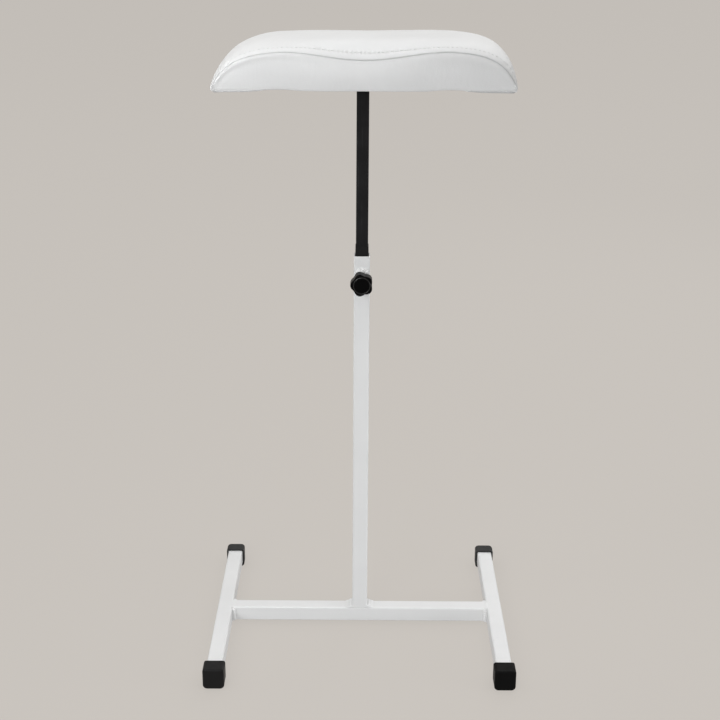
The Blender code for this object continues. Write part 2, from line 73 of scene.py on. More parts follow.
# Form of the cushion in millimetres, from the middle of its underside, with the same values as in the part.
HALF_DEPTH = 85.0
SEAM_HALF_WIDTH = 171.0
SEAM_RISE = 44.0
SEAM_DIP = 10.0
SEAM_DIP_REACH = 100.0
CROWN = 10.2
END_SWELL = 6.0
FRONT_SWELL = 3.0
SHOULDER_FLAT = 6.2
SHOULDER_ROUND = 0.63
ROLL_FLAT = 3.3
ROLL_ROUND = 0.73
COVER = 1.2
FRONT_HEM = 24.0

# What the photographed cushion adds to that form: a dip that fades faster behind the seam, lower corners
# drawn out along the seam, a filling that leans to the right, and a lower edge that is drawn in.
DIP_FADE = 1.5
CORNER_FLARE = 3.2
CORNER_REACH = 22.0
LEAN = 4.6
LEAN_GROWTH = 1.5
LEAN_LIMIT = 1.1
DRAWN_IN = 0.007
DRAWN_IN_REACH = 30.0

# How it sits on its plate: a little to the right, and level. The lower edge follows by a share only.
SIT_RIGHT = 2.4
SIT_SLOPE = 0.0066
SIT_BELOW = 0.35

# Folds under the board and hems in millimetres. The front and rear hems narrow where the end hems begin.
FOLD = 3.0
END_HEM = 54.0
HEM_LEVEL = -0.5
HEMS_MEET = 115.0
HEM_AT_ENDS = 2.0
TUCK_IN = 3.0
TUCK_APART = 0.4

# Sewing in millimetres: the groove at the seam, the rolled edges, and the row of stitches on the top panel.
GROOVE = 2.1
GROOVE_REACH = 2.4
EDGE_ROLL = 5.0
LEAST_ROLL = 1.4
EDGE_LIFT = 0.6
STITCH_FROM_SEAM = 10.2
STITCH_PITCH = 5.1
STITCH_LENGTH = 3.9
THREAD = 0.32

# Fine mesh of the cover. Rows beside the seam are given by their distance from it. Lengths on the form are
# measured in many small steps.
COLUMNS = 500
SEAM_ROWS = [0.0, 0.25, 0.6, 1.1, 1.7, 2.4, 3.3, 4.4, 5.6, 6.7, 7.6, 8.3, 8.9, 9.4, 9.8, 10.2, 10.6, 11.0,
             11.5, 12.1, 12.9, 13.9, 15.2, 16.8, 18.7, 20.9]
FIELD_ROWS = 18
FIELD_MEASURE = 60.0
BOXING_ROWS = np.array([0.0, 0.2, 0.45, 0.8, 1.2, 1.7, 2.3, 3.0, 3.8, 4.7, 5.8, 7.2])
BOXING_FIELD = 18
BOXING_LEAST_RISE = 3.4
WIDTH_STEPS = 6001
DEPTH_STEPS = 700

# Coarser mesh of the cloth simulation, what it starts from, and how much of its result is kept.
SIM_COLUMNS = 170
SIM_ROWS = [0.0, 1.7, 3.4, 5.1, 6.8, 8.5, 10.2, 11.9, 13.8, 15.9, 18.3, 20.9]
SIM_FIELD = 14
SIM_BOXING = 12
SIM_STEPS = 20
SIM_INSET = 1.5
SIM_BOXING_INSET = 1.0
SIM_NOISE = 0.04
SIM_BOXING_NOISE = 0.03
SIM_CAP = 1.6
BROAD_REACH = 30
BROAD_WIDTH = 10.0
CLOTH = {
    "quality": 6, "mass": 0.2, "tension_stiffness": 25.0, "compression_stiffness": 25.0,
    "shear_stiffness": 10.0, "bending_stiffness": 2.0, "air_damping": 3.0, "vertex_group_mass": "held",
    "use_pressure": True, "uniform_pressure_force": 4.0,
}


# Meshes.


def mesh_object(name, points, faces, material=None):
    """A smooth mesh object from points in metres and faces."""
    mesh = bpy.data.meshes.new(name)
    mesh.from_pydata([tuple(p) for p in points], [], faces)
    mesh.validate()
    mesh.shade_smooth()
    obj = bpy.data.objects.new(name, mesh)
    bpy.context.scene.collection.objects.link(obj)
    if material:
        mesh.materials.append(material)
    return obj


def grid_numbers(columns, rows):
    """Table of the numbers of a grid's points, column by column."""
    return np.arange(columns * rows).reshape(columns, rows)


def wrapped(numbers, axis):
    """A table of point numbers that runs on into its first line, to close a round form."""
    return np.concatenate([numbers, numbers.take([0], axis)], axis)


def grid_faces(numbers, flip=False):
    """Faces between the points of a table."""
    corners = numbers[:-1, :-1], numbers[1:, :-1], numbers[1:, 1:], numbers[:-1, 1:]
    quads = np.stack(corners[::-1] if flip else corners, -1)
    return quads.reshape(-1, 4).tolist()


def set_painted_shade(obj, values):
    """Keeps how much painted shade each point gets, for the material."""
    made = obj.data.attributes.new("painted_shade", "FLOAT", "POINT")
    made.data.foreach_set("value", np.asarray(values, np.float32).ravel())


def unit(vectors):
    return vectors / np.maximum(np.linalg.norm(vectors, axis=-1, keepdims=True), 1e-12)


def path_lengths(paths):
    """How far along its path each point lies. The points run along the last axis but one."""
    steps = np.linalg.norm(np.diff(paths, axis=-2), axis=-1)
    return np.concatenate([np.zeros_like(steps[..., :1]), np.cumsum(steps, axis=-1)], axis=-1)


def at_lengths(wanted, lengths, values):
    """Points, or other triples, at the wanted lengths along a path."""
    return np.stack([np.interp(wanted, lengths, values[:, k]) for k in range(3)], -1)


def tube_along(path, radius, sides, helper, loop=False):
    """Points and faces of a closed tube along a path, which may be a loop. radius is one number or one a
    point, and helper is a direction that the path never takes."""
    path = np.asarray(path, float)
    radius = np.broadcast_to(np.asarray(radius, float), len(path))
    ahead = np.roll(path, -1, axis=0) - np.roll(path, 1, axis=0) if loop else np.gradient(path, axis=0)
    tangent = unit(ahead)
    side = unit(np.cross(tangent, helper))
    up = unit(np.cross(side, tangent))
    turn = np.linspace(0, 2 * np.pi, sides, endpoint=False)
    ring = side[:, None, :] * np.cos(turn)[None, :, None] + up[:, None, :] * np.sin(turn)[None, :, None]
    points = (path[:, None, :] + ring * radius[:, None, None]).reshape(-1, 3)
    numbers = grid_numbers(len(path), sides)
    around = wrapped(numbers, 1)
    faces = grid_faces((wrapped(around, 0) if loop else around).T)
    if not loop:
        faces += [numbers[0, ::-1].tolist(), numbers[-1].tolist()]
    return points, faces


def joined(parts):
    """Several (points, faces) as one."""
    points, faces, count = [], [], 0
    for p, f in parts:
        points.append(p)
        faces += [tuple(v + count for v in face) for face in f]
        count += len(p)
    return np.concatenate(points), faces


def ripples(x, y, seed, count, shortest, longest):
    """Smooth unevenness between about -1 and 1, from waves in all directions."""
    rng = np.random.default_rng(seed)
    total = np.zeros_like(x)
    for _ in range(count):
        length = math.exp(rng.uniform(math.log(shortest), math.log(longest)))
        turn, phase = rng.uniform(0, 2 * math.pi, 2)
        total += np.sin(2 * math.pi * (x * math.cos(turn) + y * math.sin(turn)) / length + phase)
    return total / math.sqrt(count)


def ramp(value, reach):
    """Rises from 0 to 1 over a reach, and stays there."""
    return np.clip(value / reach, 0, 1)


def fall(value, reach):
    """Falls from 1 to 0 over a reach, and stays there."""
    return np.clip(1.0 - value / reach, 0, 1)


def hump(value, width):
    """A smooth hump, 1 high at 0."""
    return np.exp(-((value / width) ** 2))


def within(x, edge, blur):
    """1 up to a distance from the middle and 0 beyond it, with a soft step between."""
    return 1.0 / (1.0 + np.exp((np.abs(x) - edge) / blur))


# Materials.


class Look:
    """A Principled material and short ways to add its nodes."""

    def __init__(self, name, colour, roughness, **sockets):
        self.material = bpy.data.materials.new(name)
        self.material.use_nodes = True
        self.tree = self.material.node_tree
        self.shader = self.tree.nodes["Principled BSDF"]
        self.set("Base Color", (*colour, 1.0))
        self.set("Roughness", roughness)
        for socket, value in sockets.items():
            self.set(socket.replace("_", " "), value)
        self.place = self.add("ShaderNodeTexCoord").outputs["Object"]

    def set(self, socket, value):
        self.shader.inputs[socket].default_value = value

    def add(self, kind, **settings):
        node = self.tree.nodes.new(kind)
        for name, value in settings.items():
            setattr(node, name, value)
        return node

    def fill(self, socket, value):
        """Sets a socket to a number or joins it to another node's output."""
        if isinstance(value, bpy.types.NodeSocket):
            self.tree.links.new(value, socket)
        else:
            socket.default_value = value

    def stretched(self, scale):
        node = self.add("ShaderNodeMapping")
        self.fill(node.inputs["Vector"], self.place)
        node.inputs["Scale"].default_value = scale
        return node.outputs["Vector"]

    def noise(self, scale, detail, rough, vector=None, distortion=0.0):
        node = self.add("ShaderNodeTexNoise")
        self.fill(node.inputs["Vector"], vector or self.place)
        node.inputs["Scale"].default_value = scale
        node.inputs["Detail"].default_value = detail
        node.inputs["Roughness"].default_value = rough
        node.inputs["Distortion"].default_value = distortion
        return node.outputs["Fac"]

    def cells(self, scale):
        node = self.add("ShaderNodeTexVoronoi", feature="SMOOTH_F1")
        self.fill(node.inputs["Vector"], self.place)
        node.inputs["Scale"].default_value = scale
        return node.outputs["Distance"]

    def bands(self, scale, direction, distortion):
        node = self.add("ShaderNodeTexWave", bands_direction=direction)
        self.fill(node.inputs["Vector"], self.place)
        node.inputs["Scale"].default_value = scale
        node.inputs["Distortion"].default_value = distortion
        return node.outputs["Fac"]

    def span(self, value, low, high, to_low=0.0, to_high=1.0):
        node = self.add("ShaderNodeMapRange")
        self.fill(node.inputs["Value"], value)
        for socket, number in zip(("From Min", "From Max", "To Min", "To Max"), (low, high, to_low, to_high)):
            node.inputs[socket].default_value = number
        return node.outputs["Result"]

    def between(self, noise, low=0.0, high=1.0):
        """Spreads the usual range of a noise between two values."""
        return self.span(noise, 0.3, 0.7, low, high)

    def math(self, operation, a, b):
        node = self.add("ShaderNodeMath", operation=operation)
        self.fill(node.inputs[0], a)
        self.fill(node.inputs[1], b)
        return node.outputs["Value"]

    def times(self, a, b):
        return self.math("MULTIPLY", a, b)

    def mix(self, share, a, b):
        node = self.add("ShaderNodeMix", data_type="RGBA")
        self.fill(node.inputs[0], share)
        self.fill(node.inputs[6], a if isinstance(a, bpy.types.NodeSocket) else (*a, 1.0))
        self.fill(node.inputs[7], b if isinstance(b, bpy.types.NodeSocket) else (*b, 1.0))
        return node.outputs[2]

    def attribute(self, name):
        return self.add("ShaderNodeAttribute", attribute_name=name).outputs["Fac"]

    def edges(self, radius):
        """Share of the way to a rounded edge, from the bevelled and the true normal."""
        bevel = self.add("ShaderNodeBevel", samples=4)
        bevel.inputs["Radius"].default_value = radius
        true = self.add("ShaderNodeNewGeometry").outputs["Normal"]
        dot = self.add("ShaderNodeVectorMath", operation="DOT_PRODUCT")
        self.fill(dot.inputs[0], bevel.outputs["Normal"])
        self.fill(dot.inputs[1], true)
        return self.span(dot.outputs["Value"], 0.99, 0.80)

    def bump(self, height, strength, distance, under=None):
        node = self.add("ShaderNodeBump")
        node.inputs["Strength"].default_value = strength
        node.inputs["Distance"].default_value = distance
        self.fill(node.inputs["Height"], height)
        if under:
            self.fill(node.inputs["Normal"], under)
        return node.outputs["Normal"]

    def colour(self, socket):
        self.fill(self.shader.inputs["Base Color"], socket)

    def roughness(self, socket):
        self.fill(self.shader.inputs["Roughness"], socket)

    def normal(self, socket):
        self.fill(self.shader.inputs["Normal"], socket)


def white_powder_coat():
    """Satin white powder coat: orange peel, faint tone changes, a little grey where edges rub."""
    look = Look("white_powder_coat", (0.80, 0.80, 0.795), 0.40, Specular_IOR_Level=0.5)
    tone = look.between(look.noise(14.0, 3.0, 0.55))
    clean = look.mix(tone, (0.835, 0.835, 0.83), (0.80, 0.80, 0.795))
    worn = look.times(look.edges(0.0012), look.span(look.noise(70.0, 4.0, 0.6), 0.52, 0.72))
    specks = look.span(look.noise(420.0, 2.0, 0.5), 0.73, 0.80)
    marks = look.math("MAXIMUM", look.times(worn, 0.5), look.times(specks, 0.35))
    look.colour(look.mix(marks, clean, (0.52, 0.51, 0.49)))
    look.roughness(look.between(look.noise(55.0, 3.0, 0.6), 0.34, 0.46))
    peel = look.bump(look.noise(520.0, 2.0, 0.45), 0.16, 0.0004)
    look.normal(look.bump(look.noise(1700.0, 1.0, 0.5), 0.08, 0.0002, peel))
    return look.material


def black_powder_coat():
    """Black coat of the sliding tube: long streaks and scuffs where it runs in the bush."""
    look = Look("black_powder_coat", (0.01, 0.01, 0.0105), 0.42, Specular_IOR_Level=0.13)
    streak = look.noise(1.0, 4.0, 0.6, look.stretched((420.0, 420.0, 7.0)))
    blotch = look.noise(48.0, 3.0, 0.6)
    scuff = look.times(look.span(streak, 0.55, 0.75), look.span(blotch, 0.42, 0.62))
    base = look.mix(look.between(blotch), (0.0075, 0.0075, 0.0080), (0.0125, 0.0125, 0.0132))
    rubbed = look.math("MAXIMUM", scuff, look.times(look.edges(0.0009), 0.6))
    look.colour(look.mix(rubbed, base, (0.040, 0.041, 0.044)))
    look.roughness(look.between(streak, 0.34, 0.52))
    peel = look.bump(look.noise(620.0, 2.0, 0.45), 0.14, 0.0004)
    look.normal(look.bump(streak, 0.10, 0.0003, peel))
    return look.material


def moulded(name, dark, light, roughness, grain, grain_strength, gloss):
    """Moulded black plastic with a fine grain and lighter rubbed edges."""
    look = Look(name, dark, roughness, Specular_IOR_Level=gloss)
    tone = look.between(look.noise(60.0, 3.0, 0.6))
    rub = look.times(look.edges(0.0014), look.span(look.noise(160.0, 3.0, 0.6), 0.4, 0.7))
    dust = look.span(look.noise(900.0, 2.0, 0.6), 0.70, 0.80)
    marks = look.math("MAXIMUM", look.times(rub, 0.7), look.times(dust, 0.25))
    base = look.mix(tone, dark, tuple(1.35 * c for c in dark))
    look.colour(look.mix(marks, base, light))
    look.roughness(look.between(look.noise(110.0, 3.0, 0.6), roughness - 0.06, roughness + 0.08))
    look.normal(look.bump(look.noise(grain, 2.0, 0.5), grain_strength, 0.0002))
    return look.material


def zinc_steel():
    """Zinc plate: bright, with fine turning lines and cloudy roughness."""
    look = Look("zinc_steel", (0.62, 0.62, 0.60), 0.32, Metallic=1.0)
    cloud = look.noise(220.0, 3.0, 0.6)
    look.colour(look.mix(look.between(cloud), (0.66, 0.66, 0.64), (0.50, 0.50, 0.48)))
    look.roughness(look.between(cloud, 0.24, 0.42))
    lines = look.noise(1.0, 2.0, 0.5, look.stretched((2600.0, 200.0, 2600.0)))
    look.normal(look.bump(lines, 0.15, 0.0002))
    return look.material


def plywood():
    """Raw plywood: a peeled face veneer with contour-like grain, and darker pores along it."""
    look = Look("plywood", (0.55, 0.40, 0.24), 0.7, Specular_IOR_Level=0.3)
    sweep = look.noise(1.0, 2.0, 0.45, look.stretched((5.0, 26.0, 26.0)), 0.5)
    ring = look.math("PINGPONG", look.times(sweep, 11.0), 0.5)
    pore = look.noise(1.0, 5.0, 0.65, look.stretched((60.0, 900.0, 900.0)))
    early = look.mix(look.between(sweep), (0.63, 0.48, 0.31), (0.56, 0.41, 0.25))
    wood = look.mix(look.span(ring, 0.30, 0.50, 0.0, 0.55), early, (0.44, 0.29, 0.155))
    look.colour(look.mix(look.times(look.span(pore, 0.55, 0.70), 0.6), wood, (0.27, 0.17, 0.09)))
    look.roughness(look.between(pore, 0.62, 0.82))
    look.normal(look.bump(pore, 0.25, 0.0004))
    return look.material


def leatherette():
    """White leatherette: pebbled grain, soft sheen, and painted shade in the seam grooves, needle dents and
    folds.
    """
    look = Look("white_leatherette", (0.82, 0.82, 0.815), 0.45, Specular_IOR_Level=0.45)
    tone = look.between(look.noise(22.0, 3.0, 0.55))
    clean = look.mix(tone, (0.855, 0.855, 0.85), (0.825, 0.825, 0.82))
    # Painted shade: the colour darkens toward grey where the point attribute marks seam grooves, needle dents
    # and folds.
    look.colour(look.mix(look.attribute("painted_shade"), clean, (0.33, 0.33, 0.33)))
    look.roughness(look.between(look.noise(75.0, 3.0, 0.6), 0.40, 0.52))
    pebble = look.bump(look.cells(780.0), 0.22, 0.0005)
    look.normal(look.bump(look.noise(2100.0, 2.0, 0.5), 0.10, 0.0002, pebble))
    return look.material


def sewing_thread():
    """Twisted sewing thread."""
    look = Look("sewing_thread", (0.80, 0.80, 0.79), 0.6, Sheen_Weight=0.2)
    twist = look.bands(900.0, "DIAGONAL", 0.6)
    look.colour(look.mix(twist, (0.86, 0.86, 0.85), (0.68, 0.68, 0.67)))
    look.roughness(look.span(twist, 0.0, 1.0, 0.52, 0.68))
    look.normal(look.bump(twist, 0.5, 0.0002))
    return look.material


WHITE = white_powder_coat()
BLACK = black_powder_coat()
KNOB = moulded("knob_plastic", dark=(0.0012, 0.0012, 0.0013), light=(0.016, 0.016, 0.017), roughness=0.32,
               grain=1500.0, grain_strength=0.08, gloss=0.05)
PLASTIC = moulded("black_plastic", dark=(0.0085, 0.0085, 0.0088), light=(0.03, 0.03, 0.031), roughness=0.48,
                  grain=1300.0, grain_strength=0.16, gloss=0.12)
# Painted light and shade: the caps are one plastic in three tones. The front right copy is darker for the less
# light it gets, and the rear copy is lighter for the sheen that the light from above gives it.
CAP_LEFT = moulded("cap_plastic", dark=(0.0072, 0.0072, 0.0074), light=(0.036, 0.036, 0.037), roughness=0.46,
                   grain=1100.0, grain_strength=0.22, gloss=0.16)
CAP_RIGHT_SHADED = moulded("cap_plastic_painted_shade", dark=(0.0035, 0.0035, 0.0036), light=(0.022, 0.022, 0.023),
                    roughness=0.46, grain=1100.0, grain_strength=0.22, gloss=0.065)
CAP_REAR_LIT = moulded("cap_plastic_painted_light", dark=(0.026, 0.026, 0.026), light=(0.060, 0.060, 0.060),
                   roughness=0.50, grain=1100.0, grain_strength=0.22, gloss=0.17)
RING_LOOK = moulded("ring_plastic", dark=(0.0030, 0.0030, 0.0032), light=(0.03, 0.03, 0.03), roughness=0.24,
                    grain=1500.0, grain_strength=0.05, gloss=0.45)
ZINC = zinc_steel()
PLY = plywood()
SKIN = leatherette()
THREAD_LOOK = sewing_thread()

NODE_LOOKS = {
    "left_leg": WHITE, "right_leg": WHITE, "cross_bar": WHITE, "post": WHITE, "clamp_nut": WHITE,
    "front_left_cap": CAP_LEFT, "front_right_cap": CAP_RIGHT_SHADED,
    "rear_left_cap": CAP_REAR_LIT, "rear_right_cap": CAP_REAR_LIT,
    "guide_bush": PLASTIC, "lower_guide_plug": PLASTIC, "inner_tube": BLACK, "cushion_plate": BLACK,
    "cushion_board": PLY, "clamp_stud": ZINC, "star_knob": KNOB, "knob_cap": KNOB,
}
for node_name, material in NODE_LOOKS.items():
    mesh = frame["nodes"][node_name].data
    mesh.materials.clear()
    mesh.materials.append(material)


# Form of the cushion. Sizes are in millimetres until a piece is seated.


def shoulder(across):
    """Height across the cushion, as a share: flat on top, rounded down to both ends."""
    return np.maximum(0.0, 1.0 - np.abs(across) ** SHOULDER_FLAT) ** SHOULDER_ROUND


def swell(deep):
    """Fullness from the front seam to the rear one, as a share."""
    return np.maximum(0.0, 1.0 - np.abs(deep) ** ROLL_FLAT) ** ROLL_ROUND


def corner_flare(height):
    """How far the lower corners are drawn out, so that the seam meets the end of the cushion there."""
    return CORNER_FLARE * fall(height, CORNER_REACH) ** 2


def cushion_point(across, deep):
    """Points of the top panel, by their share of the half width and of the half depth."""
    rise = swell(deep)
    z = (SEAM_RISE + CROWN * rise) * shoulder(across)
    x = (SEAM_HALF_WIDTH + END_SWELL * rise + corner_flare(z) * (1.0 - rise)) * across
    near = np.clip(x / SEAM_DIP_REACH, -1, 1)
    z = z - SEAM_DIP * (1.0 - rise) ** DIP_FADE * (0.5 + 0.5 * np.cos(np.pi * near))
    x = x + LEAN * rise * np.clip(z / SEAM_RISE, 0, LEAN_LIMIT) ** LEAN_GROWTH
    return np.stack([x, HALF_DEPTH * deep + 0 * x, z], -1)


def end_share(deep):
    """Share of the half width where the fold under the board begins."""
    low = FOLD / (SEAM_RISE + CROWN * swell(deep))
    return (1.0 - low ** (1 / SHOULDER_ROUND)) ** (1 / SHOULDER_FLAT)


def seam_points(shares):
    """Points of the seam, by their share of the width between the folds."""
    at_seam = np.array(1.0)
    return cushion_point(shares * end_share(at_seam), at_seam)


def roll_in(distance, reach, depth):
    """How far an edge has rolled inwards at a distance from the seam."""
    share = fall(distance, reach)
    return depth * (1.0 - np.sqrt(1.0 - share * share))


def seat(points):
    """Takes points in millimetres to metres in the frame, sitting as the photographed cushion does."""
    held = ramp(points[..., 2], SEAM_RISE) * (1 - SIT_BELOW) + SIT_BELOW
    moved = points.copy()
    moved[..., 0] *= 1 - DRAWN_IN * fall(points[..., 2], DRAWN_IN_REACH)
    moved[..., 0] += SIT_RIGHT * held
    moved[..., 2] += SIT_SLOPE * points[..., 0] * held + CUSHION_BOTTOM
    return moved * MM


def stations(columns):
    """Shares of the width between the folds that lie evenly along the seam, and how far along it they lie."""
    share = np.sin(np.pi / 2 * np.linspace(-1, 1, WIDTH_STEPS))
    length = path_lengths(seam_points(share))
    along = np.linspace(0, length[-1], columns)
    return np.interp(along, length, share), along


def half_panel(shares, near, field_rows, end):
    """The top panel from one seam to the middle, station by station: points, distances from the seam, and a
    row measure that is the same at every station."""
    fine = 1.0 - np.linspace(0, 1, DEPTH_STEPS) ** 2
    across = shares[:, None]
    length = path_lengths(cushion_point(across * end_share(fine), fine + 0 * across))
    near = np.array(near)
    rest = np.linspace(0, 1, field_rows + 1)[1:]
    rows = np.hstack([near + 0 * across, near[-1] + rest * (length[:, -1:] - near[-1])])
    deep = np.stack([np.interp(wanted, line, fine) for wanted, line in zip(rows, length)])
    points = cushion_point(across * end_share(deep), end * deep)
    return points, rows, np.concatenate([near, near[-1] + FIELD_MEASURE * rest])


def panel_normals(points, end):
    """Outward normals of one half of the top panel."""
    return -end * unit(np.cross(np.gradient(points, axis=0), np.gradient(points, axis=1)))


def both_halves(front, rear, axis=1):
    """Two halves as one sheet. Their last rows are the same middle row, which is kept once."""
    return np.concatenate([front, np.flip(rear, axis).take(range(1, rear.shape[axis]), axis)], axis)


def boxing_bulge(across, share):
    return FRONT_SWELL * np.sin(np.pi * share) * (1 - across ** 2)


SHARES, ALONG = stations(COLUMNS)
SEAM_LENGTH = ALONG[-1]


# Cloth simulation of the cover.


def simulate(points, faces, held):
    """Runs the cloth under pressure, with some points held, and returns where all points end."""
    cover = mesh_object("cover_settling", points * MM, faces)
    cover.vertex_groups.new(name="held").add(held, 1.0, "REPLACE")
    cloth = cover.modifiers.new("cloth", "CLOTH")
    for name, value in CLOTH.items():
        setattr(cloth.settings, name, value)
    cloth.settings.effector_weights.gravity = 0.0
    cloth.collision_settings.use_collision = False
    for step in range(1, SIM_STEPS + 1):
        bpy.context.scene.frame_set(step)
    shape = cover.evaluated_get(bpy.context.evaluated_depsgraph_get()).to_mesh()
    moved = np.empty(len(points) * 3)
    shape.vertices.foreach_get("co", moved)
    data = cover.data
    bpy.data.objects.remove(cover)
    bpy.data.meshes.remove(data)
    bpy.context.scene.frame_set(1)
    return moved.reshape(-1, 3) / MM


def fine_part(off, keep):
    """Leaves out the broad swelling along the seam, except where keep is 1, and caps the rest."""
    reach = np.arange(-BROAD_REACH, BROAD_REACH + 1)
    weights = np.exp(-0.5 * (reach / BROAD_WIDTH) ** 2)
    padded = np.pad(off, ((BROAD_REACH, BROAD_REACH), (0, 0)), mode="edge")
    broad = sum(weight * padded[k:k + len(off)] for k, weight in enumerate(weights)) / weights.sum()
    return np.clip(off - broad * (1 - keep), -SIM_CAP, SIM_CAP)


def settle_cover():
    """A short simulation of the sewn cover under the push of its filling. The seams, the rows of stitches and
    the lower edges are held. Gives each sheet's row measure and how far it stands off its plain form."""
    shares, _ = stations(SIM_COLUMNS)
    halves = [half_panel(shares, SIM_ROWS, SIM_FIELD, end) for end in (FRONT, REAR)]
    measure = halves[0][2]
    top = both_halves(halves[0][0], halves[1][0])
    top_up = both_halves(panel_normals(halves[0][0], FRONT), panel_normals(halves[1][0], REAR))
    share = np.linspace(0, 1, SIM_BOXING)
    seam_x, seam_z = top[:, 0, :1], top[:, 0, 2:]
    out = HALF_DEPTH + boxing_bulge(seam_x / SEAM_HALF_WIDTH, share[None, :])
    boxing = {end: np.stack([seam_x + 0 * out, end * out, seam_z * (1 - share)], -1) for end in (FRONT, REAR)}

    # The start is a little smaller than the form that it swells to.
    inset = ramp(np.abs(measure - STITCH_FROM_SEAM), 18.0) * ramp(measure, 4.0)
    inset = SIM_INSET * both_halves(inset, inset, 0)
    rng = np.random.default_rng(8)
    start = top - top_up * inset[None, :, None] + rng.normal(0, SIM_NOISE, top.shape)
    numbers = grid_numbers(*top.shape[:2])
    stitch = SIM_ROWS.index(STITCH_FROM_SEAM)
    points = [start.reshape(-1, 3)]
    faces = grid_faces(numbers)
    held = [*numbers[:, [0, -1, stitch, -1 - stitch]].T, numbers[0], numbers[-1]]
    tables = {}
    for end, edge in ((FRONT, 0), (REAR, -1)):
        sheet = boxing[end].copy()
        sheet[..., 1] -= end * SIM_BOXING_INSET * np.sin(np.pi * share)
        sheet += rng.normal(0, SIM_BOXING_NOISE, sheet.shape)
        added = sum(len(p) for p in points) + grid_numbers(SIM_COLUMNS, SIM_BOXING - 1)
        table = np.hstack([numbers[:, [edge]], added])
        points.append(sheet[:, 1:].reshape(-1, 3))
        faces += grid_faces(table, flip=end == FRONT)
        held += [table[:, -1], table[0], table[-1]]
        tables[end] = table
    moved = simulate(np.concatenate(points), faces, np.unique(np.concatenate(held)).tolist())

    off = np.sum((moved[numbers] - top) * top_up, axis=2)
    beside = np.exp(-np.maximum(0, measure - STITCH_FROM_SEAM) / 6.0)
    settled = {}
    for end, half in ((FRONT, off), (REAR, off[:, ::-1])):
        settled["top", end] = measure, fine_part(half[:, :len(measure)], beside)
        out = end * (moved[tables[end]] - boxing[end])[..., 1]
        settled["boxing", end] = share, fine_part(out, 0.0)
    return settled


SETTLED = settle_cover()


def stands_off(sheet, end, wanted):
    """How far a settled sheet stands off at the fine stations and the wanted rows, on a smooth curve between
    the stations of the simulation."""
    if not SETTLED:
        return np.zeros((COLUMNS, len(wanted)))
    measure, off = SETTLED[sheet, end]
    rows = np.stack([np.interp(wanted, measure, line) for line in off])
    spot = np.linspace(0, len(rows) - 1, COLUMNS)
    first = np.clip(spot.astype(int), 0, len(rows) - 2)
    t = (spot - first)[:, None]
    p0, p1 = rows[np.maximum(first - 1, 0)], rows[first]
    p2, p3 = rows[first + 1], rows[np.minimum(first + 2, len(rows) - 1)]
    return p1 + 0.5 * t * (p2 - p0 + t * (2 * p0 - 5 * p1 + 4 * p2 - p3 + t * (3 * (p1 - p2) + p3 - p0)))


# Sewn cover.


def panel_relief(rows, along, seed):
    """How far the top panel stands off its plain form by its sewing, and how much painted shade it gets in the
    seam groove and the needle dents.
    """
    along = along[:, None] + 0 * rows
    from_row = rows - STITCH_FROM_SEAM
    hole = (0.5 + 0.5 * np.cos(2 * np.pi * along / STITCH_PITCH)) ** 2
    dent = hole * hump(from_row, 1.9)
    middle = hump(along - SEAM_LENGTH / 2, 58.0)
    uneven = ripples(along, 0 * along, seed, 5, 25.0, 160.0)
    tension = np.clip(0.15 + 0.88 * middle + 0.12 * uneven, 0.08, 1.2)
    # The edge rolls into the groove, the strip up to the stitches is full, and the thread pulls its row down.
    groove = roll_in(rows, GROOVE_REACH, GROOVE)
    strip = (0.30 - 0.16 * middle) * np.sin(np.pi * ramp(rows, STITCH_FROM_SEAM)) ** 2
    pulled = (0.80 * dent + 0.10 * hump(from_row, 1.3)) * tension
    pulled += 0.25 * tension * hole * hump(from_row - 3.0, 2.6)
    beyond = 0.16 * hump(from_row - 4.6, 2.8)
    gathers = 0.12 * ripples(along, rows * 2.0, seed + 1, 9, 9.0, 24.0) * tension
    gathers *= np.exp(-np.abs(from_row) / 7.0)
    # Short folds lie across the seam where it turns down at both ends.
    turned = ramp(np.abs(along - SEAM_LENGTH / 2) - 110.0, 50.0)
    folds = 0.26 * ripples(along, rows * 0.5, seed + 2, 7, 6.0, 11.0) * turned
    folds *= ramp(rows, 3.0) * np.exp(-rows / 18.0)
    # Painted shade in the seam groove and the needle dents. The seam is darker to the right, away from the
    # light, and at its low ends.
    low_end = fall(np.minimum(along, SEAM_LENGTH - along), 34.0)
    depth = 0.30 + 0.42 * ramp(along, SEAM_LENGTH) + 0.40 * low_end
    painted_shade = depth * np.exp(-rows / (1.0 + 0.7 * low_end)) + 0.15 * dent * tension
    return strip + beyond + gathers + folds - groove - pulled, np.clip(painted_shade, 0, 1)


def end_fold(column, distance, side):
    """The fold and hem under one end of the board, from the wall to the inner edge of the hem."""
    wave = 0.25 * np.sin(column[:, 1] / 19.0 + 1.3 * side) + 0.15 * np.sin(column[:, 1] / 7.3)
    made = []
    for turn in np.radians([18, 36, 54, 72, 90]):
        ring = column.copy()
        ring[:, 0] -= side * FOLD * (1 - math.cos(turn))
        ring[:, 2] = column[:, 2] * (1 - math.sin(turn)) + HEM_LEVEL * math.sin(turn)
        made.append(ring)
    for step in np.linspace(0, 1, 13)[1:]:
        ring = column.copy()
        ring[:, 0] -= side * (FOLD + step * (END_HEM - FOLD))
        tuck = 1.5 * max(0.0, (step - 0.5) / 0.5) ** 2 * np.exp(-np.maximum(distance, 0.0) / 14.0)
        ring[:, 2] = wave * math.sin(math.pi * step) * 0.6 + HEM_LEVEL * (1 - step) + tuck
        made.append(ring)
    return made


def cover_panel(name, points, painted_shade, flip=False):
    """A panel of the cover from its points in millimetres, column by column, and the painted shade it gets
    there.
    """
    faces = grid_faces(grid_numbers(*points.shape[:2]), flip)
    panel = mesh_object(name, seat(points).reshape(-1, 3), faces, SKIN)
    set_painted_shade(panel, painted_shade)
    solid = panel.modifiers.new("cover_thickness", "SOLIDIFY")
    solid.thickness = COVER * MM
    solid.offset = -1.0
    return panel


